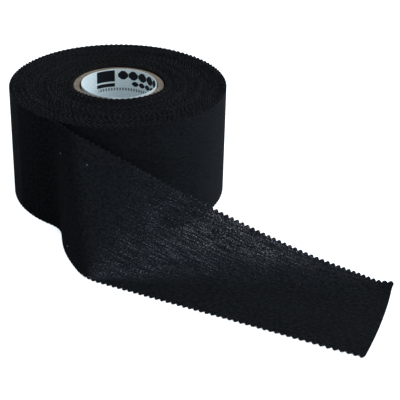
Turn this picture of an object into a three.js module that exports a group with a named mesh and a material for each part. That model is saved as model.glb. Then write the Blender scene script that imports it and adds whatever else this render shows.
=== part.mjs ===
// A roll of black cotton hand-wrap tape standing on one end face, with its free end peeled off,
// turned round a corner and laid down on the table. Millimetres, +Z up.
// Everything is built about the roll's own upright axis. The last step moves the whole part so
// that the origin is the middle of its base.
import * as THREE from 'three';

// ---- driving dimensions -------------------------------------------------------------------
const tapeWidth = 38;            // a standard inch-and-a-half strip
const tapeThickness = 0.3;       // cotton cloth with its adhesive coat
const rollRadius = 36;           // outside of the last turn
const windingPitch = 0.3;        // how much one turn adds to the radius
const neighbourGap = 0.3;        // clear space between pieces that touch on the real object

const coreOuterRadius = 15;      // card tube with a bore of about one inch
const coreWall = 2.0;
const coreRecess = 0.6;          // the tube stops this far inside both end faces
const coreChamfer = 0.25;

const labelThickness = 0.15;     // paper lining of the bore
const labelRecess = 1.0;
const labelLap = 12;             // degrees by which the lining overlaps itself

const toothDepth = 0.8;          // pinked edges: round teeth between narrower notches
const tailLength = 118;          // from the peel line to the cut end, along the middle
const tailTeeth = 66;
const toothPitch = tailLength / tailTeeth;
const stepsPerTooth = 4;
const endBow = 0.8;              // the cut end bulges slightly in its middle
const endSkew = 3.5;             // and its lower corner reaches further than its upper one

const tableClearance = 0.4;      // middle of the strip above the table where it lies down
const tableSoftness = 0.3;

// ---- how the free end leaves the roll ------------------------------------------------------
// Length s runs along the strip from the peel line, height v runs across it from its lower edge.
const peelDirection = 243;       // where the strip leaves the roll, degrees round from +X
const peelAngle = 56;            // how far it turns outward from the roll there
const cornerDistance = 32.5;     // along the lower edge, from the peel line to the corner
const clothGive = 6.5;           // the cloth rounds every fold over this length to each side
const foldsPerFan = 24;

// The strip bends along straight folds that spread like fans. Each fan sweeps the lower edge
// and the upper edge between the stated lengths, and turns the cloth by the stated angle.
const fans = [
  { lower: [0, cornerDistance], upper: [0, 1], turn: 26 },
  { lower: [cornerDistance, cornerDistance], upper: [1, 11], turn: 71 },
  { lower: [cornerDistance, cornerDistance], upper: [11, 175], turn: -59 },
];

// The free end is three links, hinged across the strip at these lengths.
const linkCuts = [0, 60, 89];

// ---- worked out from the dimensions --------------------------------------------------------
const degree = Math.PI / 180;
const stripRadius = rollRadius - tapeThickness / 2;
const peelTheta = peelDirection * degree;
const up = new THREE.Vector3(0, 0, 1);
const turnLength = 2 * Math.PI * stripRadius;

function makeFolds() {
  const folds = [];
  for (const fan of fans) {
    const weights = [];
    for (let i = 0; i < foldsPerFan; i += 1) {
      weights.push(Math.sin(Math.PI * (i + 0.5) / foldsPerFan) ** 2);
    }
    const total = weights.reduce((sum, weight) => sum + weight, 0);
    weights.forEach((weight, i) => {
      const share = (i + 0.5) / foldsPerFan;
      folds.push({
        lower: fan.lower[0] + (fan.lower[1] - fan.lower[0]) * share,
        upper: fan.upper[0] + (fan.upper[1] - fan.upper[0]) * share,
        angle: fan.turn * degree * weight / total,
      });
    });
  }
  return folds;
}

// One placement per flat panel between folds. The first panel stands upright on the peel line.
function makePanels(folds) {
  const heading = peelTheta + Math.PI / 2 - peelAngle * degree;
  const along = new THREE.Vector3(Math.cos(heading), Math.sin(heading), 0);
  const panel = new THREE.Matrix4().makeBasis(along, up, along.clone().cross(up));
  panel.setPosition(stripRadius * Math.cos(peelTheta), stripRadius * Math.sin(peelTheta), 0);
  const panels = [panel.clone()];
  for (const fold of folds) {
    const axis = new THREE.Vector3(fold.upper - fold.lower, tapeWidth, 0).normalize();
    panel.multiply(new THREE.Matrix4().makeTranslation(fold.lower, 0, 0));
    panel.multiply(new THREE.Matrix4().makeRotationAxis(axis, fold.angle));
    panel.multiply(new THREE.Matrix4().makeTranslation(-fold.lower, 0, 0));
    panels.push(panel.clone());
  }
  return panels;
}

const folds = makeFolds();
const panels = makePanels(folds);

function pointOnRoll(s, v) {
  const theta = peelTheta + s / stripRadius;
  const radius = stripRadius + windingPitch * s / turnLength;
  return new THREE.Vector3(radius * Math.cos(theta), radius * Math.sin(theta), v);
}

function pointOnFoldedStrip(s, v) {
  if (s < 0) {
    return pointOnRoll(s, v);
  }
  let crossed = 0;
  for (const fold of folds) {
    if (s > fold.lower + (fold.upper - fold.lower) * v / tapeWidth) {
      crossed += 1;
    }
  }
  return new THREE.Vector3(s, v, 0).applyMatrix4(panels[crossed]);
}

// The strip rests on the table wherever it would otherwise sink below it.
function restOnTable(height) {
  const above = height - tableClearance;
  return tableClearance + (above + Math.sqrt(above * above + tableSoftness * tableSoftness)) / 2;
}

// The middle surface of the strip, with every fold rounded over by the give of the cloth. On the
// roll the cloth is held, so its give grows from nothing to all of it just before the peel line.
const giveSamples = 25;
function stripPoint(s, v) {
  if (s < -3 * clothGive) {
    return pointOnRoll(s, v);
  }
  const give = clothGive * THREE.MathUtils.smoothstep(s, -3 * clothGive, 0);
  const point = new THREE.Vector3();
  let total = 0;
  for (let i = 0; i < giveSamples; i += 1) {
    const offset = 2 * i / (giveSamples - 1) - 1;
    const weight = Math.cos(offset * Math.PI / 2.4) ** 2;
    point.addScaledVector(pointOnFoldedStrip(s + offset * give, v), weight);
    total += weight;
  }
  point.divideScalar(total);
  const freed = THREE.MathUtils.smoothstep(s, 0, 12);
  point.z = THREE.MathUtils.lerp(point.z, restOnTable(point.z), freed);
  return point;
}

function stripNormal(s, v) {
  const step = 0.4;
  const along = stripPoint(s + step, v).sub(stripPoint(s - step, v));
  const across = stripPoint(s, v + step).sub(stripPoint(s, v - step));
  return along.cross(across).normalize();
}

// How far a pinked edge is cut back at length s: nothing on a tooth's tip, most in a notch.
function notch(s) {
  const phase = Math.abs(Math.sin(Math.PI * s / toothPitch));
  return toothDepth * (1 - phase ** 0.9);
}

// ---- closed solids ---------------------------------------------------------------------------
function meshFrom(name, positions, indices, material) {
  const geometry = new THREE.BufferGeometry();
  geometry.setAttribute('position', new THREE.Float32BufferAttribute(positions, 3));
  geometry.setIndex(indices);
  geometry.computeVertexNormals();
  const mesh = new THREE.Mesh(geometry, material);
  mesh.name = name;
  return mesh;
}

// A thin closed sheet: the middle surface pushed half a thickness each way, with a rim all round.
// middle(i, j) and facing(i, j) give the point and the unit normal of a grid corner.
function thinSheet(name, columns, rows, thickness, middle, facing, material) {
  const positions = [];
  const indices = [];
  const layer = (columns + 1) * (rows + 1);
  const corner = (i, j) => i * (rows + 1) + j;
  for (const side of [0.5, -0.5]) {
    for (let i = 0; i <= columns; i += 1) {
      for (let j = 0; j <= rows; j += 1) {
        const point = middle(i, j).addScaledVector(facing(i, j), side * thickness);
        positions.push(point.x, point.y, point.z);
      }
    }
  }
  const quad = (a, b, c, d) => indices.push(a, b, c, a, c, d);
  for (let i = 0; i < columns; i += 1) {
    for (let j = 0; j < rows; j += 1) {
      const [a, b, c, d] = [corner(i, j), corner(i + 1, j), corner(i + 1, j + 1), corner(i, j + 1)];
      quad(a, b, c, d);
      quad(layer + a, layer + d, layer + c, layer + b);
    }
    const [p, q] = [corner(i, 0), corner(i + 1, 0)];
    quad(p, layer + p, layer + q, q);
    const [r, t] = [corner(i, rows), corner(i + 1, rows)];
    quad(r, t, layer + t, layer + r);
  }
  for (let j = 0; j < rows; j += 1) {
    const [p, q] = [corner(0, j), corner(0, j + 1)];
    quad(p, q, layer + q, layer + p);
    const [r, t] = [corner(columns, j), corner(columns, j + 1)];
    quad(r, layer + r, layer + t, t);
  }
  return meshFrom(name, positions, indices, material);
}

// A solid of revolution from a closed outline of [radius, height] pairs.
function ring(name, outline, segments, material) {
  const points = [...outline, outline[0]].map(([radius, height]) => new THREE.Vector2(radius, height));
  const geometry = new THREE.LatheGeometry(points, segments);
  geometry.rotateX(Math.PI / 2);
  const mesh = new THREE.Mesh(geometry, material);
  mesh.name = name;
  return mesh;
}

function chamferedTube(innerRadius, outerRadius, low, high, chamfer) {
  return [
    [innerRadius, low + chamfer],
    [innerRadius + chamfer, low],
    [outerRadius - chamfer, low],
    [outerRadius, low + chamfer],
    [outerRadius, high - chamfer],
    [outerRadius - chamfer, high],
    [innerRadius + chamfer, high],
    [innerRadius, high - chamfer],
  ];
}

// ---- the pieces ------------------------------------------------------------------------------
function paint(colour, roughness) {
  return new THREE.MeshStandardMaterial({ color: colour, roughness, metalness: 0 });
}

function core() {
  const inner = coreOuterRadius - coreWall;
  const outline = chamferedTube(inner, coreOuterRadius, coreRecess, tapeWidth - coreRecess, coreChamfer);
  return ring('core', outline, 96, paint(0xa9855c, 0.9));
}

// The paper lining winds once round the bore and laps over its own start on the near side.
function boreLabel() {
  const outer = coreOuterRadius - coreWall - neighbourGap - labelThickness / 2;
  const drop = labelThickness + neighbourGap;
  const sweep = (360 + labelLap) * degree;
  const start = (-90 - labelLap / 2) * degree;
  const columns = 124;
  const turn = (i) => start + sweep * i / columns;
  const radius = (i) => outer - drop * sweep * (i / columns) / (2 * Math.PI);
  const height = (j) => labelRecess + (tapeWidth - 2 * labelRecess) * j;
  const middle = (i, j) => new THREE.Vector3(
    radius(i) * Math.cos(turn(i)),
    radius(i) * Math.sin(turn(i)),
    height(j),
  );
  const facing = (i) => new THREE.Vector3(Math.cos(turn(i)), Math.sin(turn(i)), 0);
  return thinSheet('bore_label', columns, 1, labelThickness, middle, facing, paint(0xd3e0e6, 0.6));
}

// All the turns that stay on the roll, pressed into one body between the core and the last turn.
function woundTape() {
  const inner = coreOuterRadius + neighbourGap;
  const outer = rollRadius - windingPitch - tapeThickness - neighbourGap;
  const outline = chamferedTube(inner, outer, 0, tapeWidth, 0.2);
  return ring('wound_tape', outline, 144, paint(0x15181b, 0.95));
}

function stripPiece(name, from, to, rows, shade) {
  const columns = Math.round((to - from) / toothPitch * stepsPerTooth);
  const atEnd = to === tailLength;
  const bow = (v) => endBow * (1 - (2 * v / tapeWidth - 1) ** 2);
  const skew = (v) => endSkew * (0.5 - v / tapeWidth);
  const reach = (v) => (atEnd ? bow(v) + skew(v) : 0);
  const place = (i, j) => {
    const share = i / columns;
    const plain = from + (to - from) * share;
    const cut = notch(plain);
    const low = from < 0 ? cut + tableClearance / 4 : cut;
    const high = tapeWidth - low;
    const v = low + (high - low) * j / rows;
    const s = plain + reach(v) * THREE.MathUtils.smoothstep(share, 0.6, 1);
    return [s, v];
  };
  const middle = (i, j) => stripPoint(...place(i, j));
  const facing = (i, j) => stripNormal(...place(i, j));
  return thinSheet(name, columns, rows, tapeThickness, middle, facing, paint(shade, 0.95));
}

// The last turn on the roll. It starts one turn back, against the turn below it.
function outerTurn() {
  const from = -turnLength + 3 * toothPitch;
  return stripPiece('outer_turn', from, -neighbourGap / 2, 1, 0x181b1f);
}

function tailLinks() {
  const names = ['tail_peel', 'tail_mid', 'tail_end'];
  const shades = [0x1b1f23, 0x1d2125, 0x1f2428];
  return names.map((name, i) => {
    const from = linkCuts[i] + neighbourGap / 2;
    const to = i < 2 ? linkCuts[i + 1] - neighbourGap / 2 : tailLength;
    return stripPiece(name, from, to, 6, shades[i]);
  });
}

const group = new THREE.Group();
group.name = 'hand_wrap_tape_roll';
group.add(core(), boreLabel(), woundTape(), outerTurn(), ...tailLinks());

// Put the origin under the middle of the whole part, on the table.
const box = new THREE.Box3().setFromObject(group);
const centre = box.getCenter(new THREE.Vector3());
for (const mesh of group.children) {
  mesh.geometry.translate(-centre.x, -centre.y, -box.min.z);
}

export default group;
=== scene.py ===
"""The looks of a roll of black cotton hand-wrap tape with its pinked end peeled off and laid down.

The tape is one strip from the core to the cut end. Every stretch of it, wound or peeled, is meshed
from the same two coordinates: s, the distance along the strip from the line where it leaves the
roll (negative on the roll), and v, the height above its lower edge. Lengths are in millimetres,
about the roll's own axis, until a mesh is made.
"""

import math

import bpy
import numpy as np
from mathutils import Matrix, Vector


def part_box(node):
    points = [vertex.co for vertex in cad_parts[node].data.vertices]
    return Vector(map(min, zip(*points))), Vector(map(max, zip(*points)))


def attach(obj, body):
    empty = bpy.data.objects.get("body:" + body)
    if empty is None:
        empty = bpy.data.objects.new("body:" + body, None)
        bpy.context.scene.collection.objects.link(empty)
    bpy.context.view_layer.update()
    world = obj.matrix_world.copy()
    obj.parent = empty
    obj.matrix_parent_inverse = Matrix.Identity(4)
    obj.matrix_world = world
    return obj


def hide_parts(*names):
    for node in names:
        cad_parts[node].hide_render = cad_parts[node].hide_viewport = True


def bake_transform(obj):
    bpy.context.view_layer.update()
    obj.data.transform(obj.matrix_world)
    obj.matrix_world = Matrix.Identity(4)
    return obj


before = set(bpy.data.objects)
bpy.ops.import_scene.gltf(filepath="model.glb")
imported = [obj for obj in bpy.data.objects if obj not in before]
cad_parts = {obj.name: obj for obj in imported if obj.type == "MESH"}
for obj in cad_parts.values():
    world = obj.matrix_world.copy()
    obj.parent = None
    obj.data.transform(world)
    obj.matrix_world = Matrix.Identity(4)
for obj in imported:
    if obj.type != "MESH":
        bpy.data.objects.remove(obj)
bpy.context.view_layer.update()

MM = 0.001

# ---- driving dimensions, as in the CAD source ------------------------------------------------
TAPE_WIDTH = 38.0
TAIL_LENGTH = 118.0
TAIL_TEETH = 66
TOOTH_PITCH = TAIL_LENGTH / TAIL_TEETH
WINDING_PITCH = 0.3
ROLL_RADIUS = 36.0
STRIP_RADIUS = ROLL_RADIUS - WINDING_PITCH / 2
CORE_RADIUS = 15.0
CORE_WALL = 2.0
LABEL_GAP = 0.3
END_BOW = 0.8
END_SKEW = 3.5
TABLE_CLEARANCE = 0.4
TABLE_SOFTNESS = 0.3

PEEL_ANGLE_ON_ROLL = math.radians(243)
PEEL_TURN = math.radians(56)
CORNER = 32.5
CLOTH_GIVE = 6.5
# Each fan of folds: its start and end along the lower and upper edges, and its turn in degrees.
FANS = [
    {"lower": (0, CORNER), "upper": (0, 1), "turn": 26},
    {"lower": (CORNER, CORNER), "upper": (1, 11), "turn": 71},
    {"lower": (CORNER, CORNER), "upper": (11, 175), "turn": -59},
]
MIDDLE_FOLD = 60.0
END_FOLD = 89.0

# ---- details that only the visual model has --------------------------------------------------
WOUND_THICKNESS = 0.25
TAIL_THICKNESS = 0.26
FLOOR_GAP = 0.02
FIRST_TURN_GAP = 0.3

TOOTH_DEPTH = 0.95
TOOTH_BLUNTNESS = 0.8
WOUND_TOOTH_SHARE = 0.65
LOWER_TOOTH_SHARE = 1.55
TOOTH_SPREAD = 0.25

# The cut end's upper corner comes to a point and curls up, over these lengths along and across.
CORNER_POINT = 0.35
POINT_ALONG, POINT_ACROSS = 4.0, 3.0
CORNER_CURL = 1.3
CURL_ALONG, CURL_ACROSS = 7.0, 9.0

# The first turns stand up out of the roll on its near side.
CORE_TURNS_LIFT = 0.8
CORE_TURNS_RADIUS = 22.0

# Each wave: its size, its wavelength and the seed of its bends. The drift is counted in teeth, and
# it grows with the distance back along the roll.
TOOTH_DRIFT = [(1.3, 61.0, 3), (0.45, 17.0, 4)]
TOOTH_DRIFT_BEGINS = 30.0
TOOTH_DRIFT_FULL = 240.0
TURN_SHIFT = [(0.13, 170.0, 5), (0.05, 37.0, 6)]
RISING_RIPPLE = [(0.10, 13.0, 7)]
FALLING_RIPPLE = [(0.05, 5.5, 8)]
EDGE_RIPPLE = [(0.10, 4.6, 9)]

LABEL_THICKNESS = 0.15
LABEL_RADIUS = CORE_RADIUS - CORE_WALL - LABEL_GAP - LABEL_THICKNESS / 2
LABEL_LAP = math.radians(12)
LABEL_LAP_STEP = 0.45
LABEL_RECESS = 1.0
LABEL_TOP = TAPE_WIDTH - 0.25
LABEL_TOP_WAVE = [(0.12, 9.0, 11)]

# ---- how finely the cloth is meshed ----------------------------------------------------------
FOLDS_PER_FAN = 72
GIVE_SAMPLES = 41
GIVE_TAPER = 2.4
ROWS = 26
SPARE_COLUMNS = 2
STEPS_PER_TOOTH = 8
STEPS_PER_WOUND_TOOTH = 6
LABEL_COLUMNS = 260
LABEL_ROWS = 8
KNOTS = 4096

# ---- places along the strip ------------------------------------------------------------------
# The last turn starts a little more than a turn back, and the turns under it end just after that.
TURN_LENGTH = 2 * math.pi * STRIP_RADIUS
LAST_TURN_START = -TURN_LENGTH - 6.0
OUTER_TURNS_END = LAST_TURN_START + 4.0
ON_ROLL_END = -20.0
ROUNDED_FROM = -3 * CLOTH_GIVE
CLEAR_OF_ROLL = 12.0
TEETH_FREE = 24.0
PEELED_END = 40.0
MIDDLE_END = 75.0

# ---- how far past each fold the second point square to it lies -------------------------------
FOLD_REACH = 13.0

core_low, core_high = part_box("core")
ROLL_AXIS = Vector(((core_low.x + core_high.x) / 2, (core_low.y + core_high.y) / 2, 0))


# ---- camera ----------------------------------------------------------------------------------
def make_camera():
    """A long lens above the near side, turned a little about its own axis."""
    elevation = math.radians(28.3)
    roll = math.radians(1.57)
    distance = 397.5
    target = Vector((28.01, 0.0, -5.41))
    forward = Vector((0, math.cos(elevation), -math.sin(elevation)))
    level_up = Vector((0, math.sin(elevation), math.cos(elevation)))
    level_right = Vector((1, 0, 0))
    right = math.cos(roll) * level_right + math.sin(roll) * level_up
    upward = math.cos(roll) * level_up - math.sin(roll) * level_right
    camera = bpy.data.objects.new("camera", bpy.data.cameras.new("camera"))
    bpy.context.scene.collection.objects.link(camera)
    place = ROLL_AXIS + (target - forward * distance) * MM
    turn = Matrix((right, upward, -forward)).transposed().to_4x4()
    camera.matrix_world = Matrix.Translation(place) @ turn
    camera.data.sensor_width = 36
    camera.data.lens = 102.4
    camera.data.clip_start = 0.01
    bpy.context.scene.camera = camera


# ---- the strip's shape -----------------------------------------------------------------------
def make_folds():
    """Lower end, upper end and angle of every fold of the peeled end, as three arrays."""
    lower, upper, angle = [], [], []
    share = (np.arange(FOLDS_PER_FAN) + 0.5) / FOLDS_PER_FAN
    weight = np.sin(np.pi * share) ** 2
    weight /= weight.sum()
    for fan in FANS:
        lower.append(fan["lower"][0] + (fan["lower"][1] - fan["lower"][0]) * share)
        upper.append(fan["upper"][0] + (fan["upper"][1] - fan["upper"][0]) * share)
        angle.append(math.radians(fan["turn"]) * weight)
    return np.concatenate(lower), np.concatenate(upper), np.concatenate(angle)


def make_panels(lower, upper, angle):
    """The placement of the flat panel before the first fold and after each one."""
    heading = PEEL_ANGLE_ON_ROLL + math.pi / 2 - PEEL_TURN
    along = Vector((math.cos(heading), math.sin(heading), 0))
    up = Vector((0, 0, 1))
    start = Vector((math.cos(PEEL_ANGLE_ON_ROLL), math.sin(PEEL_ANGLE_ON_ROLL), 0)) * STRIP_RADIUS
    panel = Matrix((along, up, along.cross(up))).transposed().to_4x4()
    panel = Matrix.Translation(start) @ panel
    panels = [panel.copy()]
    for low, high, turn in zip(lower, upper, angle):
        axis = Vector((high - low, TAPE_WIDTH, 0)).normalized()
        shift = Matrix.Translation((low, 0, 0))
        panel = panel @ shift @ Matrix.Rotation(turn, 4, axis) @ shift.inverted()
        panels.append(panel.copy())
    return np.array([[list(row) for row in panel] for panel in panels])


FOLD_LOWER, FOLD_UPPER, FOLD_ANGLE = make_folds()
PANELS = make_panels(FOLD_LOWER, FOLD_UPPER, FOLD_ANGLE)


def smoothstep(x, low, high):
    t = np.clip((x - low) / (high - low), 0, 1)
    return t * t * (3 - 2 * t)


def spiral_radius(s):
    return np.sqrt(STRIP_RADIUS**2 + s * WINDING_PITCH / math.pi)


def points_on_roll(s, v):
    radius = spiral_radius(s)
    theta = PEEL_ANGLE_ON_ROLL + 2 * math.pi * (radius - STRIP_RADIUS) / WINDING_PITCH
    return np.stack([radius * np.cos(theta), radius * np.sin(theta), v], axis=-1)


def points_on_folded_strip(s, v):
    crossed = np.zeros(s.shape, int)
    for low, high in zip(FOLD_LOWER, FOLD_UPPER):
        crossed += s > low + (high - low) * v / TAPE_WIDTH
    panel = PANELS[crossed]
    folded = panel[..., :3, 0] * s[..., None] + panel[..., :3, 1] * v[..., None] + panel[..., :3, 3]
    return np.where((s < 0)[..., None], points_on_roll(s, v), folded)


def rest_on_table(height):
    above = height - TABLE_CLEARANCE
    return TABLE_CLEARANCE + (above + np.sqrt(above**2 + TABLE_SOFTNESS**2)) / 2


def strip_points(s, v):
    """The middle surface of the strip, on the roll and peeled, with its folds rounded over."""
    if (s < ROUNDED_FROM).all():
        return points_on_roll(s, v)
    give = CLOTH_GIVE * smoothstep(s, ROUNDED_FROM, 0)
    total = 0.0
    points = np.zeros(s.shape + (3,))
    for offset in np.linspace(-1, 1, GIVE_SAMPLES):
        weight = math.cos(offset * math.pi / GIVE_TAPER) ** 2
        points += weight * points_on_folded_strip(s + offset * give, v)
        total += weight
    points /= total
    freed = smoothstep(s, 0, CLEAR_OF_ROLL)
    points[..., 2] += freed * (rest_on_table(points[..., 2]) - points[..., 2])
    return points


def grid_normals(points):
    """Unit normals of a grid of points, on the cloth side, which faces out from the roll."""
    normal = np.cross(np.gradient(points, axis=0), np.gradient(points, axis=1))
    return normal / np.linalg.norm(normal, axis=-1, keepdims=True)


# ---- small irregularities --------------------------------------------------------------------
def waviness(x, wavelength, seed):
    """A smooth random curve between about -1 and 1, with bends about a wavelength apart."""
    knots = np.random.default_rng(seed).uniform(-1, 1, KNOTS)
    place = x / wavelength + KNOTS // 2
    index = np.floor(place).astype(int) % (KNOTS - 1)
    part = place - np.floor(place)
    part = part * part * (3 - 2 * part)
    return knots[index] * (1 - part) + knots[index + 1] * part


def waves(x, parts):
    """A sum of smooth random curves, each given by its size, its wavelength and its seed."""
    return sum(size * waviness(x, wavelength, seed) for size, wavelength, seed in parts)


def tooth_phase(s):
    """Teeth gone by at length s. On the roll the cloth was stretched a little unevenly."""
    stretched = smoothstep(-s, TOOTH_DRIFT_BEGINS, TOOTH_DRIFT_FULL)
    return s / TOOTH_PITCH + stretched * waves(s, TOOTH_DRIFT)


def notch(s, free_share):
    """How far a pinked edge is cut back: most in a notch.

    Teeth are pressed shallower on the roll, and the tips of free ones spread a little. free_share
    is how deep the free ones are, as a share of the usual depth."""
    freed = smoothstep(s, 0, TEETH_FREE)
    depth = TOOTH_DEPTH * (WOUND_TOOTH_SHARE + (free_share - WOUND_TOOTH_SHARE) * freed)
    cut = depth * (1 - np.abs(np.sin(np.pi * tooth_phase(s))) ** TOOTH_BLUNTNESS)
    return cut - TOOTH_SPREAD * smoothstep(s, 4, TEETH_FREE)


# ---- meshes ----------------------------------------------------------------------------------
def mesh_object(name, points, faces, materials, face_material, corner_uv, normals):
    """A mesh piece from points in millimetres about the roll axis.

    corner_uv is one per point, and normals one per face corner."""
    mesh = bpy.data.meshes.new(name)
    mesh.vertices.add(len(points))
    placed = points * MM + np.array(ROLL_AXIS)
    mesh.vertices.foreach_set("co", placed.astype(np.float32).ravel())
    mesh.loops.add(faces.size)
    mesh.loops.foreach_set("vertex_index", faces.astype(np.int32).ravel())
    mesh.polygons.add(len(faces))
    mesh.polygons.foreach_set("loop_start", np.arange(0, faces.size, 4, dtype=np.int32))
    mesh.polygons.foreach_set("loop_total", np.full(len(faces), 4, np.int32))
    mesh.polygons.foreach_set("material_index", face_material.astype(np.int32))
    mesh.polygons.foreach_set("use_smooth", np.ones(len(faces), bool))
    for material in materials:
        mesh.materials.append(material)
    uv = mesh.uv_layers.new(name="strip")
    uv.data.foreach_set("uv", corner_uv[faces.ravel()].astype(np.float32).ravel())
    mesh.update(calc_edges=True)
    mesh.validate()
    mesh.normals_split_custom_set(normals.astype(np.float32))
    piece = bpy.data.objects.new(name, mesh)
    bpy.context.scene.collection.objects.link(piece)
    return piece


def thin_sheet(name, middle, normal, thickness, uv, materials):
    """A closed sheet from a grid of middle points: cloth side, inner side and a rim all round.

    Both sides shade smoothly on from one piece of the strip to the next, and the rim is sharp. The
    materials are those of the cloth side, the inner side and the rim."""
    columns, rows = middle.shape[0] - 1, middle.shape[1] - 1
    outer = middle + normal * thickness / 2
    inner = middle - normal * thickness / 2
    layer = (columns + 1) * (rows + 1)
    index = np.arange(layer).reshape(columns + 1, rows + 1)

    def quads(a, b, c, d):
        return np.stack([x.ravel() for x in (a, b, c, d)], axis=-1)

    front = quads(index[:-1, :-1], index[1:, :-1], index[1:, 1:], index[:-1, 1:])
    back = layer + front[:, ::-1]
    rims = [
        quads(index[:-1, 0], layer + index[:-1, 0], layer + index[1:, 0], index[1:, 0]),
        quads(index[:-1, -1], index[1:, -1], layer + index[1:, -1], layer + index[:-1, -1]),
        quads(index[0, :-1], index[0, 1:], layer + index[0, 1:], layer + index[0, :-1]),
        quads(index[-1, :-1], layer + index[-1, :-1], layer + index[-1, 1:], index[-1, 1:]),
    ]
    rim = np.concatenate(rims)
    faces = np.concatenate([front, back, rim])
    points = np.concatenate([outer.reshape(-1, 3), inner.reshape(-1, 3)])
    both_uv = np.concatenate([uv.reshape(-1, 2), uv.reshape(-1, 2)])
    kinds = [np.zeros(len(front)), np.ones(len(back)), np.full(len(rim), 2)]
    side_normal = np.concatenate([normal.reshape(-1, 3), -normal.reshape(-1, 3)])
    first, second, third = points[rim[:, 0]], points[rim[:, 1]], points[rim[:, 2]]
    rim_normal = np.cross(second - first, third - first)
    rim_normal /= np.linalg.norm(rim_normal, axis=-1, keepdims=True)
    corners = np.concatenate([front, back]).ravel()
    normals = np.concatenate([side_normal[corners], np.repeat(rim_normal, 4, axis=0)])
    return mesh_object(name, points, faces, materials, np.concatenate(kinds), both_uv, normals)


def strip_grid(start, end, steps_per_tooth, rows, spare=0):
    """The s and v of a stretch of strip with pinked edges, as two grids.

    spare is the number of columns that the grids run on for past each end."""
    columns = round((end - start) / TOOTH_PITCH * steps_per_tooth)
    step = (end - start) / columns
    s = (start + step * np.arange(-spare, columns + spare + 1))[:, None] * np.ones(rows + 1)[None]
    lower_cut = notch(s[:, :1], LOWER_TOOTH_SHARE)
    upper_cut = notch(s[:, :1], 1.0)
    share = np.linspace(0, 1, rows + 1)[None]
    v = lower_cut + (TAPE_WIDTH - upper_cut - lower_cut) * share
    return s, v


# ---- pieces of the strip ---------------------------------------------------------------------
def wound_turns(name, start, end, materials):
    """A stretch of the strip as it is wound on the core: one spiral with pinked edges."""
    s, v = strip_grid(start, end, STEPS_PER_WOUND_TOOTH, 1)
    middle = points_on_roll(s, v)
    on_top = v > TAPE_WIDTH / 2
    shifted = waves(s, TURN_SHIFT)
    middle[..., 2] += np.where(on_top, shifted, np.maximum(shifted, FLOOR_GAP))
    near_core = smoothstep(np.hypot(middle[..., 0], middle[..., 1]), CORE_TURNS_RADIUS, CORE_RADIUS)
    near_side = smoothstep(-middle[..., 1] / CORE_RADIUS, 0.1, 1.0)
    middle[..., 2] += np.where(on_top, CORE_TURNS_LIFT * near_core * near_side, 0)
    middle[..., 2] = np.clip(middle[..., 2], FLOOR_GAP, TAPE_WIDTH + CORE_TURNS_LIFT)
    radial = middle * np.array([1.0, 1.0, 0.0])
    normal = radial / np.linalg.norm(radial, axis=-1, keepdims=True)
    return thin_sheet(name, middle, normal, WOUND_THICKNESS, np.stack([s, v], -1), materials)


def make_wound_tape(cloth, sticky, edge):
    """Every turn under the last one, in two stretches with about the same length of tape."""
    first_turn_radius = CORE_RADIUS + FIRST_TURN_GAP
    start = -(STRIP_RADIUS**2 - first_turn_radius**2) * math.pi / WINDING_PITCH
    middle = start / 2
    for name, low, high in (
        ("inner_turns", start, middle),
        ("outer_turns", middle, OUTER_TURNS_END),
    ):
        piece = wound_turns(name, low, high, [cloth, sticky, edge])
        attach(piece, "roll")
        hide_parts("wound_tape")


def cloth_ripple(s, v):
    """How far the cloth stands out of its smooth shape, along its normal.

    Two slanting waves cross the whole strip, and a third one runs along its edges."""
    free = smoothstep(s, CLEAR_OF_ROLL, PEELED_END)
    broad = waves(s + 0.35 * v, RISING_RIPPLE) + waves(s - 0.6 * v, FALLING_RIPPLE)
    edge = np.abs(2 * v / TAPE_WIDTH - 1) ** 6
    return free * (broad + edge * waves(s, EDGE_RIPPLE))


def cut_end(s, v, start, end):
    """The s of the last stretch's grid, with its cut end bowed, skewed and a little pointed."""
    bow = END_BOW * (1 - (2 * v / TAPE_WIDTH - 1) ** 2)
    skew = END_SKEW * (0.5 - v / TAPE_WIDTH)
    last_half = smoothstep((s - start) / (end - start), 0.5, 1)
    across = smoothstep(v, TAPE_WIDTH - POINT_ACROSS, TAPE_WIDTH)
    point = CORNER_POINT * across * smoothstep(s, end - POINT_ALONG, end)
    return s + (bow + skew) * last_half + point


def corner_curl(s, v):
    """How far the upper corner of the cut end curls up."""
    along = smoothstep(s, TAIL_LENGTH - CURL_ALONG, TAIL_LENGTH)
    return CORNER_CURL * along * smoothstep(v, TAPE_WIDTH - CURL_ACROSS, TAPE_WIDTH)


def strip_piece(name, start, end, materials):
    """A stretch of the strip near its free end, and its flat size."""
    s, v = strip_grid(start, end, STEPS_PER_TOOTH, ROWS, SPARE_COLUMNS)
    if end == TAIL_LENGTH:
        s = cut_end(s, v, start, end)
    middle = strip_points(s, v)
    middle[..., 2] += corner_curl(s, v)
    middle += grid_normals(middle) * cloth_ripple(s, v)[..., None]
    lowest = TAIL_THICKNESS / 2 + FLOOR_GAP
    raised = np.maximum(middle[..., 2], lowest)
    middle[..., 2] = np.where(s > CLEAR_OF_ROLL, raised, middle[..., 2])
    grids = (middle, grid_normals(middle), s, v)
    middle, facing, s, v = (grid[SPARE_COLUMNS:-SPARE_COLUMNS] for grid in grids)
    piece = thin_sheet(name, middle, facing, TAIL_THICKNESS, np.stack([s, v], -1), materials)
    flat = (TAPE_WIDTH * MM, (end - start) * MM)
    return piece, flat


def frame_point(s, v):
    """A point of the strip in the row frame, in metres."""
    point = strip_points(np.array([s]), np.array([v]))[0]
    return ROLL_AXIS + Vector(point) * MM


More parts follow.
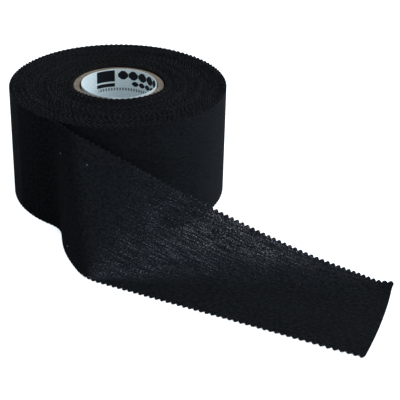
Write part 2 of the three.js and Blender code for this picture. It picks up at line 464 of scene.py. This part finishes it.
def across_a_fold(s):
    """Two points square to the fold across the strip at s: on the fold and some way past it."""
    low, high = frame_point(s, 0.0), frame_point(s, TAPE_WIDTH)
    axis = (high - low).normalized()
    along = frame_point(s + 4, TAPE_WIDTH / 2) - frame_point(s - 4, TAPE_WIDTH / 2)
    along = (along - along.dot(axis) * axis).normalized()
    middle = (low + high) / 2
    return middle, middle + along * FOLD_REACH * MM


def make_last_turn(materials):
    piece, flat = strip_piece("last_turn", LAST_TURN_START, ON_ROLL_END, materials)
    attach(piece, "roll")
    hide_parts("outer_turn")


def make_peeling_stretch(materials):
    """The strip from just before the peel line to past the corner. It turns away from the roll at
    the peel line.
    """
    piece, flat = strip_piece("peeling_stretch", ON_ROLL_END, PEELED_END, materials)
    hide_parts("tail_peel")
    start = frame_point(0.0, TAPE_WIDTH / 2)
    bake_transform(piece)


def make_middle_stretch(materials):
    piece, flat = strip_piece("middle_stretch", PEELED_END, MIDDLE_END, materials)
    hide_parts("tail_mid")
    start, end = across_a_fold(MIDDLE_FOLD)
    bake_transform(piece)


def make_end_stretch(materials):
    piece, flat = strip_piece("end_stretch", MIDDLE_END, TAIL_LENGTH, materials)
    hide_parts("tail_end")
    start, end = across_a_fold(END_FOLD)
    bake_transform(piece)


# ---- the lining of the bore ------------------------------------------------------------------
def make_bore_label(paper, bare_paper):
    """Paper wound once round the bore, lapping over its own start on the near side."""
    share = np.linspace(0, 1, LABEL_COLUMNS + 1)[:, None] * np.ones(LABEL_ROWS + 1)[None]
    sweep = 2 * math.pi + LABEL_LAP
    theta = -math.pi / 2 - LABEL_LAP / 2 + sweep * share
    radius = LABEL_RADIUS - LABEL_LAP_STEP * sweep * share / (2 * math.pi)
    height = np.linspace(0, 1, LABEL_ROWS + 1)[None] * np.ones(LABEL_COLUMNS + 1)[:, None]
    top = LABEL_TOP + waves(theta * LABEL_RADIUS, LABEL_TOP_WAVE)
    v = LABEL_RECESS + (top - LABEL_RECESS) * height
    outward = np.stack([np.cos(theta), np.sin(theta), 0 * theta], -1)
    middle = radius[..., None] * outward
    middle[..., 2] = v
    right_of_far_wall = (math.pi / 2 - theta) * LABEL_RADIUS
    uv = np.stack([right_of_far_wall, v], -1)
    papers = [bare_paper, paper, bare_paper]
    piece = thin_sheet("bore_lining", middle, outward, LABEL_THICKNESS, uv, papers)
    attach(piece, "roll")
    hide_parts("bore_label")


# ---- node materials --------------------------------------------------------------------------
class Shader:
    """A material with one Principled shader, and short ways to add the nodes that drive it."""

    def __init__(self, name):
        self.material = bpy.data.materials.new(name)
        self.material.use_nodes = True
        self.tree = self.material.node_tree
        self.tree.nodes.clear()
        self.output = self.add("ShaderNodeOutputMaterial")
        self.principled = self.add("ShaderNodeBsdfPrincipled")
        self.join(self.principled.outputs[0], self.output.inputs["Surface"])

    def add(self, kind, **settings):
        node = self.tree.nodes.new(kind)
        for key, value in settings.items():
            setattr(node, key, value)
        return node

    def join(self, source, target):
        """Links a node's output to that input, or sets the input to a number or a colour."""
        if isinstance(source, bpy.types.NodeSocket):
            self.tree.links.new(source, target)
        else:
            target.default_value = source

    def fixed(self, **values):
        """Sets the shader's own sockets, for what is the same all over the surface."""
        for key, value in values.items():
            self.principled.inputs[key.replace("_", " ")].default_value = value

    def math(self, operation, a, b=0.0, c=0.0, clamp=False):
        node = self.add("ShaderNodeMath", operation=operation, use_clamp=clamp)
        for value, socket in zip((a, b, c), node.inputs):
            self.join(value, socket)
        return node.outputs[0]

    def ramp(self, value, low, high, to_low=0.0, to_high=1.0):
        """A smooth step from to_low, where value is low, to to_high, where value is high."""
        node = self.add("ShaderNodeMapRange", interpolation_type="SMOOTHSTEP")
        for given, socket in zip((value, low, high, to_low, to_high), node.inputs):
            self.join(given, socket)
        return node.outputs["Result"]

    def mix(self, share, a, b):
        """Colour a where share is 0, and b where it is 1."""
        node = self.add("ShaderNodeMix", data_type="RGBA")
        self.join(share, node.inputs["Factor"])
        self.join(a, node.inputs[6])
        self.join(b, node.inputs[7])
        return node.outputs[2]

    def combine(self, x, y, z=0.0):
        node = self.add("ShaderNodeCombineXYZ")
        for value, socket in zip((x, y, z), node.inputs):
            self.join(value, socket)
        return node.outputs[0]

    def noise(self, vector, scale, detail=2.0, roughness=0.5):
        node = self.add("ShaderNodeTexNoise")
        self.join(vector, node.inputs["Vector"])
        node.inputs["Scale"].default_value = scale
        node.inputs["Detail"].default_value = detail
        node.inputs["Roughness"].default_value = roughness
        return node.outputs["Fac"]

    def strip(self):
        """The strip's own coordinates s and v in millimetres."""
        node = self.add("ShaderNodeUVMap", uv_map="strip")
        split = self.add("ShaderNodeSeparateXYZ")
        self.join(node.outputs[0], split.inputs[0])
        return split.outputs[0], split.outputs[1]

    def place(self):
        """The place in the row frame, in millimetres about the roll axis."""
        node = self.add("ShaderNodeTexCoord")
        move = self.add("ShaderNodeVectorMath", operation="SUBTRACT")
        self.join(node.outputs["Object"], move.inputs[0])
        move.inputs[1].default_value = ROLL_AXIS
        scale = self.add("ShaderNodeVectorMath", operation="SCALE")
        self.join(move.outputs[0], scale.inputs[0])
        scale.inputs["Scale"].default_value = 1 / MM
        return scale.outputs[0]

    def bump(self, height, strength, distance):
        node = self.add("ShaderNodeBump")
        self.join(height, node.inputs["Height"])
        node.inputs["Strength"].default_value = strength
        node.inputs["Distance"].default_value = distance
        self.join(node.outputs[0], self.principled.inputs["Normal"])

    def see_through(self, share):
        """Lets that share of the light straight through, as gaps between threads do."""
        clear = self.add("ShaderNodeBsdfTransparent")
        blend = self.add("ShaderNodeMixShader")
        self.join(share, blend.inputs["Fac"])
        self.join(self.principled.outputs[0], blend.inputs[1])
        self.join(clear.outputs[0], blend.inputs[2])
        self.join(blend.outputs[0], self.output.inputs["Surface"])


# ---- colours, as linear red, green, blue and alpha -------------------------------------------
CLOTH_DARK = (0.0027, 0.0034, 0.0042)
CLOTH_LIGHT = (0.0122, 0.0153, 0.0186)
CLOTH_BLOOM = (0.75, 0.86, 1.0, 1)
# The peeled end's painted highlight and painted glints, over its pulled-apart weave.
CLOTH_HAZE_AND_HIGHLIGHT = (0.024, 0.030, 0.041, 1)
FIBRE_END_GLINT = (0.098, 0.108, 0.134, 1)
# White lint; on the peeled end also painted glints.
LINT_AND_GLINT = (0.4, 0.42, 0.46, 1)
EDGE_LINT = (0.2, 0.2, 0.2, 1)
EDGE_DARK = (0.0014, 0.0017, 0.0021, 1)
EDGE_LIGHT = (0.0225, 0.025, 0.0298, 1)
WOUND_STICKY = [(0.007, 0.007, 0.0075, 1), (0.013, 0.013, 0.0135, 1)]
PEELED_STICKY = [(0.020, 0.021, 0.023, 1), (0.037, 0.039, 0.043, 1)]
CARD_DARK = (0.07, 0.057, 0.044, 1)
CARD_LIGHT = (0.22, 0.185, 0.145, 1)
CARD_SEAM = (0.045, 0.037, 0.028, 1)
PAPER_DARK = (0.52, 0.61, 0.645, 1)
PAPER_LIGHT = (0.63, 0.715, 0.745, 1)
INK = (0.004, 0.005, 0.008, 1)

# ---- sizes in the weave, the card and the print ----------------------------------------------
WARP_PITCH = 0.36
WEFT_PITCH = 0.42
LINT_SPACING = 5.0
PLY_RADIANS_PER_MM = 14.0
SEAM_LEAD = 46.0
SEAM_SHARE_OF_TURN = 0.012
PRINT_SOFTNESS = 0.05
BLOCK_CENTRE = (-5.7, 34.4)
BLOCK_HALF_SIZE = (3.4, 3.0)
BAR_HEIGHT = 33.0
BAR_HALF_WIDTH = 0.3
# Each row of lozenges: its pitch, its first place, how many, its height and their half sizes.
LOZENGE_ROWS = [(3.7, 0.6, 5, 35.6, 2.0, 1.75), (2.7, 5.0, 5, 32.7, 1.4, 1.0)]
DASHES_CENTRE = (3.5, 30.5)
DASHES_HALF_SIZE = (12.0, 0.5)


def weave_height(shader, s, v):
    """Plain weave: threads cross over and under, thicker and thinner along their length."""
    drift = shader.noise(shader.combine(s, v), 0.9, 1.0)
    s_bent = shader.math("MULTIPLY_ADD", drift, 0.5, s)
    v_bent = shader.math("MULTIPLY_ADD", drift, 0.35, v)
    warp = shader.math("SINE", shader.math("MULTIPLY", v_bent, 2 * math.pi / WARP_PITCH))
    weft = shader.math("SINE", shader.math("MULTIPLY", s_bent, 2 * math.pi / WEFT_PITCH))
    crossing = shader.math("MULTIPLY", warp, weft)
    return shader.math("MULTIPLY_ADD", crossing, 0.5, 0.5)


def lint(shader, s, v, scarcity):
    """Sparse white specks of lint caught on the cloth: 1 on a speck and 0 elsewhere.
    On the lifted part of the peeled end the specks stand for lint and painted glints.
    """
    cells = shader.add("ShaderNodeTexVoronoi", feature="F1")
    shader.join(shader.combine(shader.math("MULTIPLY", s, 0.8), v), cells.inputs["Vector"])
    cells.inputs["Scale"].default_value = 1 / LINT_SPACING
    split = shader.add("ShaderNodeSeparateColor")
    shader.join(cells.outputs["Color"], split.inputs[0])
    chosen = shader.math("GREATER_THAN", split.outputs[0], scarcity)
    size = shader.math("MULTIPLY_ADD", split.outputs[1], 0.035, 0.02)
    near = shader.math("LESS_THAN", cells.outputs["Distance"], size)
    return shader.math("MULTIPLY", chosen, near)


def stretched(shader, vector, along, across):
    """That vector with its first two parts multiplied, for streaks and grains of that size."""
    node = shader.add("ShaderNodeVectorMath", operation="MULTIPLY")
    shader.join(vector, node.inputs[0])
    node.inputs[1].default_value = (along, across, 1)
    return node.outputs[0]


def fan_slope(shader, s, v):
    """Which line out of the corner of the folds a point is on: how far it runs along per height."""
    past_corner = shader.math("SUBTRACT", s, CORNER)
    return shader.math("DIVIDE", past_corner, shader.math("ADD", v, 1.0))


def lifted(shader, slope):
    """How far the peeled end stands clear of the table: 1 near the roll, 0 where it lies flat."""
    return shader.ramp(slope, 3.0, 0.9)


def creased(shader, slope):
    """How sharply the peeled end is bent over the table: 1 along its crease, 0 away from it."""
    return shader.math("MULTIPLY", shader.ramp(slope, -0.3, 0.7), shader.ramp(slope, 2.6, 0.9))


def pulled_open(shader, colour, s, v, slub, cloud, slope):
    """That colour with the threads pulled apart, some light let straight through, and painted
    light.

    A paler colour is painted highlight and the bright fibre ends are painted glints, both partly
    the pulled-apart weave itself. They and the gaps show most along the crease, in streaks and
    patches, and only a little on the rest of the lifted cloth."""
    flat = shader.combine(s, v)
    clear = lifted(shader, slope)
    loosened_and_lit = shader.math("MULTIPLY", shader.ramp(s, -12.0, 25.0), clear)
    crease = shader.math("MULTIPLY", creased(shader, slope), clear)
    streak = shader.ramp(slub, 0.40, 0.62, 0.15, 1.1)
    patchy = shader.ramp(cloud, 0.3, 0.7, 0.55, 1.0)
    opened_and_lit = shader.math("MULTIPLY", shader.math("MULTIPLY", streak, patchy), crease)
    # Painted highlight: a paler colour on the lifted cloth, most along the crease.
    haze_and_highlight = shader.math("MULTIPLY_ADD", loosened_and_lit, 0.05, shader.math("MULTIPLY", opened_and_lit, 0.18))
    colour = shader.mix(haze_and_highlight, colour, CLOTH_HAZE_AND_HIGHLIGHT)
    glint_and_gap_share = shader.math("MULTIPLY_ADD", loosened_and_lit, 0.06, opened_and_lit)
    # Painted glints: bright fibre ends in streaks, on the lifted cloth and most along the crease.
    sparkle = shader.noise(stretched(shader, flat, 1.7, 4.2), 1.0, 1.0)
    fibre_end_glints = shader.math("MULTIPLY", shader.ramp(sparkle, 0.5, 0.72), glint_and_gap_share)
    colour = shader.mix(fibre_end_glints, colour, FIBRE_END_GLINT)
    holes = shader.noise(stretched(shader, flat, 2.2, 3.4), 1.0, 1.0)
    gap = shader.ramp(holes, 0.56, 0.76, 0.0, 0.5)
    shader.see_through(shader.math("MULTIPLY", gap, glint_and_gap_share))
    return colour


def cloth_material(name, peeled):
    """Near-black woven cotton with a bluish bloom, slubs along the strip and specks of lint.

    The peeled end is a darker copy of the same cloth all over: painted shade for the light it gets
    facing up, against which its pulled-apart weave stands out. On its lifted part the specks are
    denser: lint and painted glints."""
    # Painted shade: the peeled cloth is the wound cloth made darker all over.
    painted_shade_factor, grain_share, sheen = (0.58, 2.8, 0.005) if peeled else (1.0, 1.5, 0.013)
    shader = Shader(name)
    s, v = shader.strip()
    flat = shader.combine(s, v)
    slub = shader.noise(stretched(shader, flat, 0.16, 1.7), 1.0, 3.0)
    cloud = shader.noise(flat, 0.11, 2.0)
    weave = weave_height(shader, s, v)
    fuzz = shader.noise(flat, 5.0, 2.0)
    grain = shader.noise(stretched(shader, flat, 0.8, 1.2), 1.0, 2.0)
    tone = shader.math("MULTIPLY_ADD", slub, 0.5, shader.math("MULTIPLY_ADD", cloud, 0.35, weave))
    tone = shader.math("MULTIPLY_ADD", grain, grain_share, tone)
    usual = 0.92 + 0.5 * grain_share
    shade = shader.ramp(tone, usual - 0.6, usual + 0.6)
    dark = tuple(painted_shade_factor * part for part in CLOTH_DARK) + (1,)
    light = tuple(painted_shade_factor * part for part in CLOTH_LIGHT) + (1,)
    colour = shader.mix(shade, dark, light)
    shader.join(shader.ramp(fuzz, 0.2, 0.8, 0.8, 0.98), shader.principled.inputs["Roughness"])
    shader.fixed(Specular_IOR_Level=0.03, Sheen_Weight=sheen, Sheen_Roughness=0.4)
    shader.fixed(Sheen_Tint=CLOTH_BLOOM)
    height = shader.math("MULTIPLY_ADD", slub, 0.6, shader.math("MULTIPLY_ADD", fuzz, 0.5, weave))
    shader.bump(height, 0.55, 0.12 * MM)
    if peeled:
        slope = fan_slope(shader, s, v)
        colour = pulled_open(shader, colour, s, v, slub, cloud, slope)
        # Painted glints: denser specks, only on the lifted cloth, partly lint.
        specks = shader.math("MULTIPLY", lint(shader, s, v, 0.45), lifted(shader, slope))
    else:
        specks = lint(shader, s, v, 0.95)
    colour = shader.mix(specks, colour, LINT_AND_GLINT)
    shader.join(colour, shader.principled.inputs["Base Color"])
    return shader.material


def sticky_material(name, tones, peeled):
    """The adhesive side: dark grey with a slight shine, the weave faintly printed through."""
    shader = Shader(name)
    s, v = shader.strip()
    weave = weave_height(shader, s, v)
    blotch = shader.noise(shader.combine(s, v), 0.35, 3.0)
    colour = shader.mix(shader.ramp(blotch, 0.3, 0.7), *tones)
    shader.join(colour, shader.principled.inputs["Base Color"])
    shader.join(shader.ramp(blotch, 0.25, 0.75, 0.5, 0.72), shader.principled.inputs["Roughness"])
    shader.fixed(Specular_IOR_Level=0.25 if peeled else 0.05)
    shader.bump(shader.math("MULTIPLY_ADD", blotch, 0.8, weave), 0.4, 0.1 * MM)
    if peeled:
        clear = lifted(shader, fan_slope(shader, s, v))
        away = shader.math("MULTIPLY", shader.ramp(s, 2.0, 25.0), clear)
        thin = shader.ramp(blotch, 0.2, 0.7, 0.3, 0.7)
        shader.see_through(shader.math("MULTIPLY", thin, away))
    return shader.material


def cut_edge_material():
    """Cut thread ends: black, with paler fibres where the pinking shears crossed the weave."""
    shader = Shader("cut_edge")
    s, v = shader.strip()
    ends = shader.noise(shader.combine(s, v), 2.6, 3.0, 0.7)
    turns = shader.noise(shader.combine(shader.math("MULTIPLY", s, 0.03), v), 1.0, 2.0)
    tone = shader.math("MULTIPLY_ADD", turns, 0.5, ends)
    shade = shader.ramp(tone, 0.68, 0.95)
    black = shader.mix(shade, EDGE_DARK, EDGE_LIGHT)
    colour = shader.mix(lint(shader, s, v, 0.97), black, EDGE_LINT)
    shader.join(colour, shader.principled.inputs["Base Color"])
    shader.join(shader.ramp(ends, 0.2, 0.8, 0.75, 0.95), shader.principled.inputs["Roughness"])
    shader.fixed(Specular_IOR_Level=0.03, Sheen_Weight=0.004, Sheen_Roughness=0.5)
    shader.bump(ends, 0.6, 0.1 * MM)
    return shader.material


def card_material():
    """Kraft card wound in plies: rings on its end faces, slanting seams and fibres on its walls."""
    shader = Shader("kraft_card")
    place = shader.place()
    split = shader.add("ShaderNodeSeparateXYZ")
    shader.join(place, split.inputs[0])
    x, y, z = split.outputs
    squared = shader.math("MULTIPLY_ADD", x, x, shader.math("MULTIPLY", y, y))
    radius = shader.math("SQRT", squared)
    angle = shader.math("ARCTAN2", y, x)
    wobble = shader.noise(place, 0.25, 2.0)
    outwards = shader.math("MULTIPLY", radius, PLY_RADIANS_PER_MM)
    ply = shader.math("SINE", shader.math("MULTIPLY_ADD", wobble, 3.0, outwards))
    climb = shader.math("MULTIPLY", z, 1 / SEAM_LEAD)
    turns = shader.math("MULTIPLY_ADD", angle, 1 / (2 * math.pi), climb)
    from_seam = shader.math("SUBTRACT", shader.math("FRACT", turns), 0.5)
    off_seam = shader.ramp(shader.math("ABSOLUTE", from_seam), 0.0, SEAM_SHARE_OF_TURN)
    round_wall = shader.math("MULTIPLY", angle, CORE_RADIUS - CORE_WALL / 2)
    fibre = shader.noise(shader.combine(round_wall, z, radius), 1.4, 4.0, 0.65)
    tone = shader.math("MULTIPLY_ADD", ply, 0.12, fibre)
    kraft = shader.mix(shader.ramp(tone, 0.25, 0.8), CARD_DARK, CARD_LIGHT)
    colour = shader.mix(off_seam, CARD_SEAM, kraft)
    shader.join(colour, shader.principled.inputs["Base Color"])
    shader.join(shader.ramp(fibre, 0.2, 0.8, 0.78, 0.95), shader.principled.inputs["Roughness"])
    shader.fixed(Specular_IOR_Level=0.2)
    shader.bump(shader.math("MULTIPLY_ADD", off_seam, 0.5, tone), 0.5, 0.15 * MM)
    return shader.material


def band(shader, value, centre, half_width):
    """1 where value is within half_width of centre, and 0 elsewhere, with a printed edge."""
    away = shader.math("ABSOLUTE", shader.math("SUBTRACT", value, centre))
    return shader.ramp(away, half_width + PRINT_SOFTNESS, half_width - PRINT_SOFTNESS)


def patch(shader, u, v, centre, half_size):
    """1 inside an upright rectangle, and 0 elsewhere."""
    across = band(shader, u, centre[0], half_size[0])
    upright = band(shader, v, centre[1], half_size[1])
    return shader.math("MULTIPLY", across, upright)


def lozenge(shader, u, v, centre, half_width, half_height):
    """1 inside an upright lozenge with blunt tips, and 0 elsewhere."""
    across = shader.math("ABSOLUTE", shader.math("SUBTRACT", u, centre[0]))
    upright = shader.math("ABSOLUTE", shader.math("SUBTRACT", v, centre[1]))
    outwards = shader.math("MULTIPLY_ADD", across, half_height / half_width, upright)
    reach = half_height * 1.2
    sides = shader.ramp(outwards, reach + PRINT_SOFTNESS, reach - PRINT_SOFTNESS)
    blunt = patch(shader, u, v, centre, (half_width * 0.9, half_height * 0.9))
    return shader.math("MULTIPLY", sides, blunt)


def printed_marks(shader, u, v):
    """Plain marks: a block crossed by a bar, two rows of lozenges and a row of dashes."""
    marks = patch(shader, u, v, BLOCK_CENTRE, BLOCK_HALF_SIZE)
    bar = band(shader, v, BAR_HEIGHT, BAR_HALF_WIDTH)
    marks = shader.math("SUBTRACT", marks, bar, clamp=True)
    for pitch, first, count, height, half_width, half_height in LOZENGE_ROWS:
        for number in range(count):
            centre = (first + number * pitch, height)
            mark = lozenge(shader, u, v, centre, half_width, half_height)
            marks = shader.math("MAXIMUM", marks, mark)
    beat = band(shader, shader.math("FRACT", u), 0.5, 0.3)
    row = patch(shader, u, v, DASHES_CENTRE, DASHES_HALF_SIZE)
    dashes = shader.math("MULTIPLY", beat, row)
    return shader.math("MULTIPLY_ADD", dashes, 0.75, marks, clamp=True)


def paper_material(name, printed):
    """Pale coated paper, with marks on the side that faces into the bore."""
    shader = Shader(name)
    u, v = shader.strip()
    grain = shader.noise(shader.combine(u, v), 1.8, 3.0)
    colour = shader.mix(shader.ramp(grain, 0.25, 0.75), PAPER_DARK, PAPER_LIGHT)
    if printed:
        colour = shader.mix(printed_marks(shader, u, v), colour, INK)
    shader.join(colour, shader.principled.inputs["Base Color"])
    shader.join(shader.ramp(grain, 0.2, 0.8, 0.42, 0.6), shader.principled.inputs["Roughness"])
    shader.fixed(Specular_IOR_Level=0.15)
    shader.bump(grain, 0.15, 0.06 * MM)
    return shader.material


# ---- floor and light -------------------------------------------------------------------------
FLOOR_HALF_SIZE = 4.0
DOME_STRENGTH = 0.35
SIDE_STRENGTH = 1.0
SIDE_DIRECTION = (0.8, 0.2, 0.57)


def floor_material():
    """A plain sweep that looks white all round, but throws only a little light up at the part.

    Its glow is held back by ambient occlusion where something lies on it or over it: painted shade
    under the strip and round the roll's foot."""
    shader = Shader("white_sweep")
    shader.fixed(Base_Color=(0.3, 0.3, 0.3, 1), Roughness=0.9, Specular_IOR_Level=0.1)
    shader.fixed(Emission_Color=(0.88, 0.94, 1, 1))
    open_above = shader.add("ShaderNodeAmbientOcclusion", samples=8)
    open_above.inputs["Distance"].default_value = 50 * MM
    # Painted shade: the glow fades where ambient occlusion finds something close above the floor.
    uncovered = shader.ramp(open_above.outputs["AO"], 0.22, 0.48)
    seen = shader.add("ShaderNodeLightPath").outputs["Is Camera Ray"]
    white = shader.math("MULTIPLY", uncovered, shader.math("MULTIPLY_ADD", seen, 1.1, 0.05))
    shader.join(white, shader.principled.inputs["Emission Strength"])
    return shader.material


def make_floor():
    mesh = bpy.data.meshes.new("floor")
    half = FLOOR_HALF_SIZE
    corners = [(-half, -half, 0), (half, -half, 0), (half, half, 0), (-half, half, 0)]
    mesh.from_pydata(corners, [], [(0, 1, 2, 3)])
    mesh.materials.append(floor_material())
    floor = bpy.data.objects.new("floor", mesh)
    bpy.context.scene.collection.objects.link(floor)


def make_sun(name, towards_light, strength, spread, colour):
    lamp = bpy.data.lights.new(name, "SUN")
    lamp.energy = strength
    lamp.angle = math.radians(spread)
    lamp.color = colour
    sun = bpy.data.objects.new(name, lamp)
    sun.rotation_mode = "QUATERNION"
    sun.rotation_quaternion = Vector(towards_light).to_track_quat("Z", "Y")
    bpy.context.scene.collection.objects.link(sun)


def make_light():
    """A dim dome that is brighter towards one side, a soft key and a weak fill.

    The dome is white where it is the background."""
    world = bpy.data.worlds.new("studio")
    world.use_nodes = True
    tree = world.node_tree
    direction = tree.nodes.new("ShaderNodeTexCoord")
    towards_side = tree.nodes.new("ShaderNodeVectorMath")
    towards_side.operation = "DOT_PRODUCT"
    towards_side.inputs[1].default_value = SIDE_DIRECTION
    dome = tree.nodes.new("ShaderNodeMapRange")
    dome.interpolation_type = "SMOOTHSTEP"
    levels = (0.0, 0.9, DOME_STRENGTH, DOME_STRENGTH + SIDE_STRENGTH)
    for value, socket in zip(levels, dome.inputs[1:5]):
        socket.default_value = value
    seen = tree.nodes.new("ShaderNodeLightPath")
    strength = tree.nodes.new("ShaderNodeMath")
    strength.operation = "ADD"
    background = tree.nodes["Background"]
    background.inputs["Color"].default_value = (0.97, 0.985, 1.0, 1)
    tree.links.new(direction.outputs["Generated"], towards_side.inputs[0])
    tree.links.new(towards_side.outputs["Value"], dome.inputs["Value"])
    tree.links.new(dome.outputs["Result"], strength.inputs[0])
    tree.links.new(seen.outputs["Is Camera Ray"], strength.inputs[1])
    tree.links.new(strength.outputs[0], background.inputs["Strength"])
    bpy.context.scene.world = world
    make_sun("key", (1.0, 0.05, 0.8), 2.2, 50, (0.86, 0.93, 1.0))
    make_sun("fill", (-0.55, -0.78, 0.5), 0.52, 90, (0.9, 0.95, 1.0))
    bpy.context.scene.view_settings.view_transform = "Standard"


# ---- the scene -------------------------------------------------------------------------------
make_camera()
make_floor()
make_light()

edge = cut_edge_material()
wound_cloth = cloth_material("wound_cotton", peeled=False)
wound_sticky = sticky_material("wound_adhesive", WOUND_STICKY, peeled=False)
open_cloth = cloth_material("peeled_cotton", peeled=True)
open_sticky = sticky_material("peeled_adhesive", PEELED_STICKY, peeled=True)

make_wound_tape(wound_cloth, wound_sticky, edge)
make_last_turn([wound_cloth, wound_sticky, edge])
for make_stretch in (make_peeling_stretch, make_middle_stretch, make_end_stretch):
    make_stretch([open_cloth, open_sticky, edge])

printed_paper = paper_material("printed_paper", printed=True)
bare_paper = paper_material("bare_paper", printed=False)
make_bore_label(printed_paper, bare_paper)

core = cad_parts["core"]
core.data.materials.clear()
core.data.materials.append(card_material())
